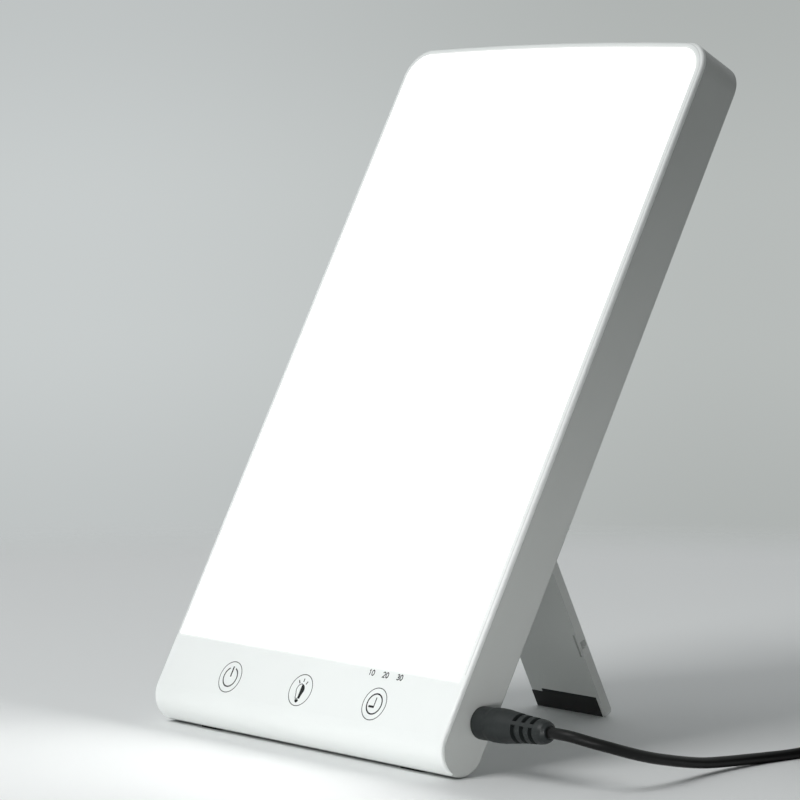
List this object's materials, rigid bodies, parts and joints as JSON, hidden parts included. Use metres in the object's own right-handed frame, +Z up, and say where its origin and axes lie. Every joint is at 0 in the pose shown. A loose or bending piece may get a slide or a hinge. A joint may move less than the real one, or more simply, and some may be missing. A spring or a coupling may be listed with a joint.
{
  "type": "light therapy lamp",
  "caption": "Slim tablet-shaped light panel with touch keys, leaning back on a folding rear leg, with a wall adapter on a coiled low-voltage cord.",
  "frame": {"origin": "centre of the footprint of the lamp itself, cord left out, on the surface that the feet and the leg's tip stand on", "axes": "+Z up; the lit face looks towards -Y and leans back 28 degrees; +X is the side with the power inlet, on the right as seen from the front"},
  "size_m": [0.2403, 0.2298, 0.2262],
  "materials": {
    "cover_white": "translucent satin white diffuser plastic",
    "housing_grey": "fine matt light grey plastic",
    "reflector_white": "bright white plastic",
    "board_white": "white solder mask on aluminium-faced board",
    "board_green": "green solder mask",
    "chip_yellow": "phosphor resin",
    "chip_black": "moulded component bodies",
    "wire_red": "wire insulation",
    "wire_black": "wire insulation",
    "inlet_black": "moulded inlet body",
    "contact_metal": "plated contacts",
    "foam_dark": "conductive foam",
    "screw_steel": "zinc-plated steel",
    "pin_steel": "plain steel",
    "rubber_black": "soft black rubber",
    "plug_black": "soft-touch moulded black",
    "cord_black": "black cord jacket",
    "barrel_nickel": "nickel-plated barrel",
    "adapter_black": "textured black plastic",
    "blade_nickel": "nickel-plated blades"
  },
  "bodies": {
    "root": {"front_cover": "cover_white", "reflector_frame": "reflector_white", "led_board": "board_white", "led_chips": "chip_yellow", "board_screws": "screw_steel", "control_board": "board_green", "control_chips": "chip_black", "touch_pads": "foam_dark", "panel_lead": "wire_red", "jack_lead": "wire_black", "dc_jack": "inlet_black", "jack_contacts": "contact_metal", "rear_housing": "housing_grey", "cover_screws": "screw_steel", "foot_left": "rubber_black", "foot_right": "rubber_black", "hinge_pin": "pin_steel", "plug_body": "plug_black", "plug_barrel": "barrel_nickel", "cord_run": "cord_black", "cord_coil": "cord_black", "cord_tie": "wire_black", "adapter_case": "adapter_black", "adapter_cover": "adapter_black", "adapter_blades": "blade_nickel", "adapter_relief": "cord_black"},
    "leg": {"stand_leg": "housing_grey", "leg_pad": "rubber_black"}
  },
  "joints": [
    {"name": "leg_hinge", "type": "hinge", "parent": "root", "child": "leg", "pos_m": [0, 0.0049, 0.11024], "axis": [1, 0, 0], "range_deg": [-53.8, 0]}
  ]
}
